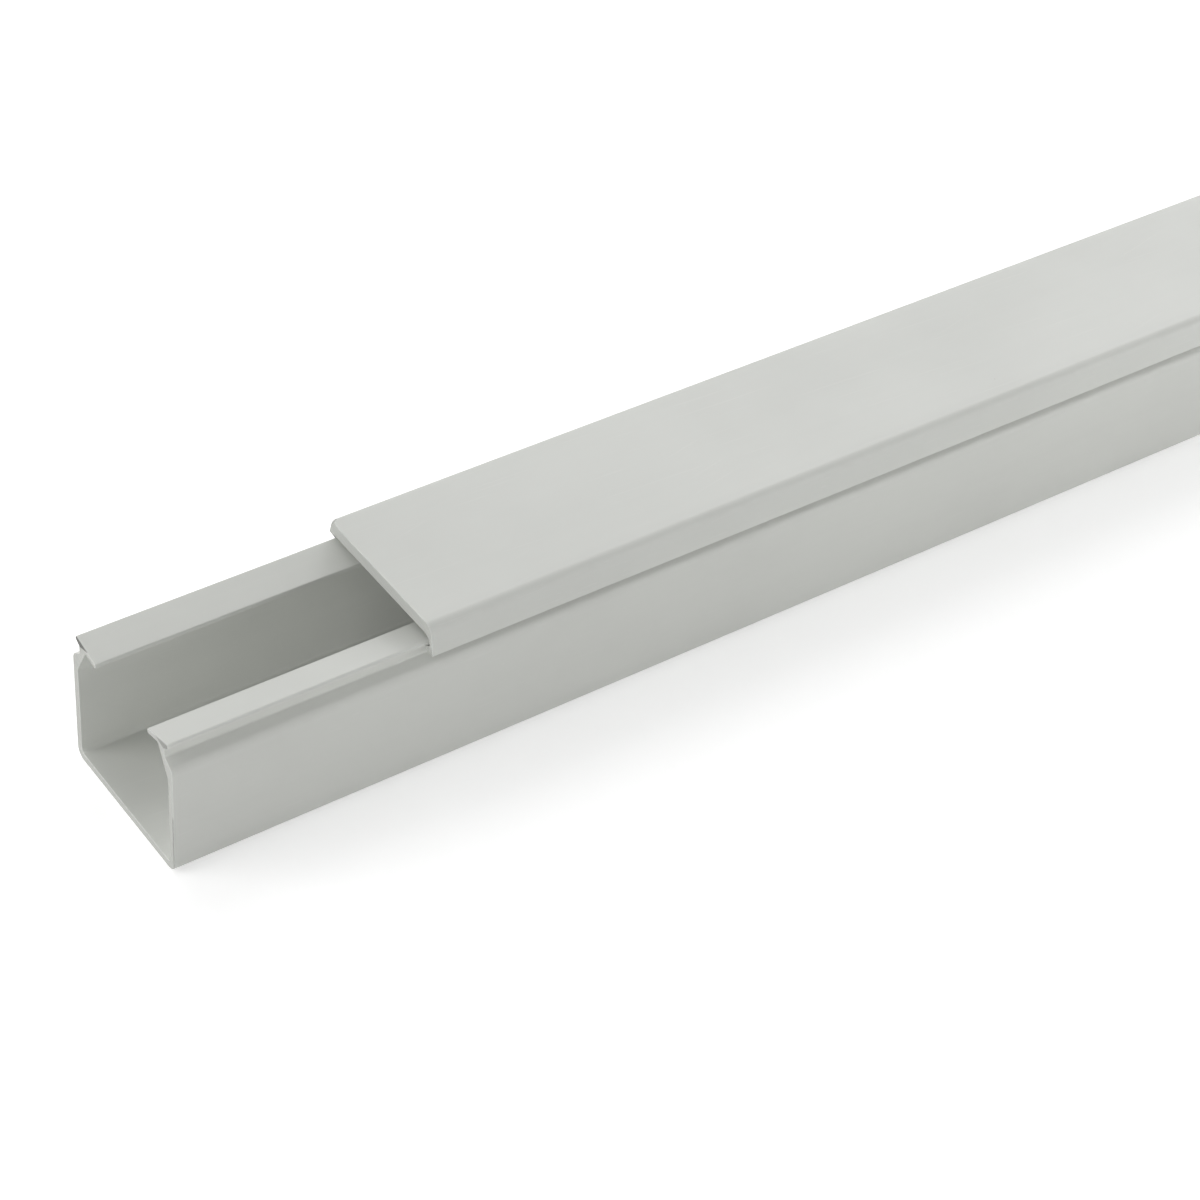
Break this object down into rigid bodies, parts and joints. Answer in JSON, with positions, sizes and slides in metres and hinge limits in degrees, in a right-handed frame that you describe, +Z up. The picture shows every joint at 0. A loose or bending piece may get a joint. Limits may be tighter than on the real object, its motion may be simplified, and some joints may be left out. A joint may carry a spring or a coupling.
{
  "type": "cable trunking",
  "caption": "Square plastic cable trunking: an open channel with inward snap lips and a clip-on cover that slides along it, slid back to show the open end.",
  "frame": {"origin": "middle of the channel's flat back face, halfway along its length and its width", "axes": "+X along the trunking, away from the open end; +Y across it; +Z up, from the back face towards the cover"},
  "size_m": [2.06, 0.04, 0.04],
  "materials": {
    "grey_pvc": "light grey rigid PVC, satin, with fine extrusion lines"
  },
  "bodies": {
    "base": {"trunking_base": "grey_pvc"},
    "cover": {"trunking_cover": "grey_pvc"}
  },
  "joints": [
    {"name": "cover_slide", "type": "slide", "parent": "base", "child": "cover", "axis": [1, 0, 0], "range_m": [-0.06, 1.9]}
  ]
}
